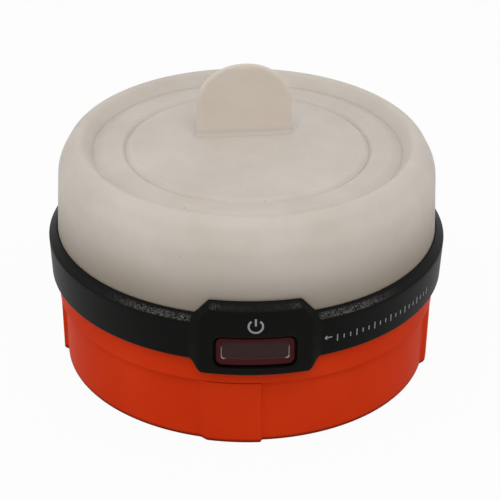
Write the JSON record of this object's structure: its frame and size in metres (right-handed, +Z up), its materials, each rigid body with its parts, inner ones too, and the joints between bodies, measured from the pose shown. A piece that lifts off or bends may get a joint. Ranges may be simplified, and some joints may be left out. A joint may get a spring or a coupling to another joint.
{
  "type": "camping lantern",
  "caption": "Round collapsible camping lantern: twist-off battery base, dark belt with a push button, soft silicone globe with rings that rise and a pull tab.",
  "frame": {"origin": "centre of the underside, on the surface that the lantern stands on", "axes": "+Z up along the lantern's round axis, -Y towards the front plate and button, +X to the right of someone who faces the button"},
  "size_m": [0.104, 0.1044, 0.0794],
  "materials": {
    "orange_plastic": "satin moulded ABS",
    "black_plastic": "satin moulded ABS, stippled on its chamfer",
    "silicone": "soft matt translucent silicone",
    "button_red": "smoky red see-through plastic",
    "white_plastic": "matt white moulding",
    "tray_plastic": "black moulded plastic",
    "board": "green solder mask",
    "led_lens": "yellow phosphor under clear resin",
    "steel": "nickel-plated steel",
    "cell_wrap": "plain printed sleeve",
    "seal_rubber": "black nitrile",
    "lead_red": "red sleeve",
    "lead_black": "black sleeve",
    "lead_grey": "grey flat lead"
  },
  "bodies": {
    "base": {"base_cup": "orange_plastic"},
    "button": {"button_cap": "button_red", "switch_plunger": "tray_plastic"},
    "globe_mid": {"globe_mid_ring": "silicone"},
    "globe_top": {"globe_cap": "silicone"},
    "tab": {"pull_tab": "silicone"},
    "head": {"housing": "orange_plastic", "base_seal": "seal_rubber", "trim_band": "black_plastic", "tact_switch": "tray_plastic", "switch_board": "board", "indicator_led": "led_lens", "switch_lead": "lead_grey", "led_board": "board", "leds": "led_lens", "reflector": "white_plastic", "board_screws": "steel", "battery_tray": "tray_plastic", "tray_screws": "steel", "contact_plates": "steel", "contact_springs": "steel", "lead_wire_positive": "lead_red", "lead_wire_negative": "lead_black", "aa_cell_1": "cell_wrap", "aa_cell_2": "cell_wrap", "aa_cell_3": "cell_wrap", "globe_skirt": "silicone", "globe_clamp": "tray_plastic", "clamp_screws": "steel"}
  },
  "joints": [
    {"name": "base_twist", "type": "hinge", "parent": "base", "child": "head", "pos_m": [0, 0, 0], "axis": [0, 0, 1], "range_deg": [0, 30]},
    {"name": "button_press", "type": "slide", "parent": "head", "child": "button", "axis": [0, 1, 0], "range_m": [0, 0.0008], "stiffness_N_per_m": 400},
    {"name": "mid_lift", "type": "slide", "parent": "head", "child": "globe_mid", "axis": [0, 0, 1], "range_m": [0, 0.022]},
    {"name": "top_lift", "type": "slide", "parent": "globe_mid", "child": "globe_top", "axis": [0, 0, 1], "range_m": [0, 0.022]},
    {"name": "tab_bend", "type": "hinge", "parent": "globe_top", "child": "tab", "pos_m": [-0.0005, 0.00718, 0.06085], "axis": [0.9976, 0.0698, 0], "range_deg": [-60, 60], "stiffness_Nm_per_rad": 0.006}
  ]
}
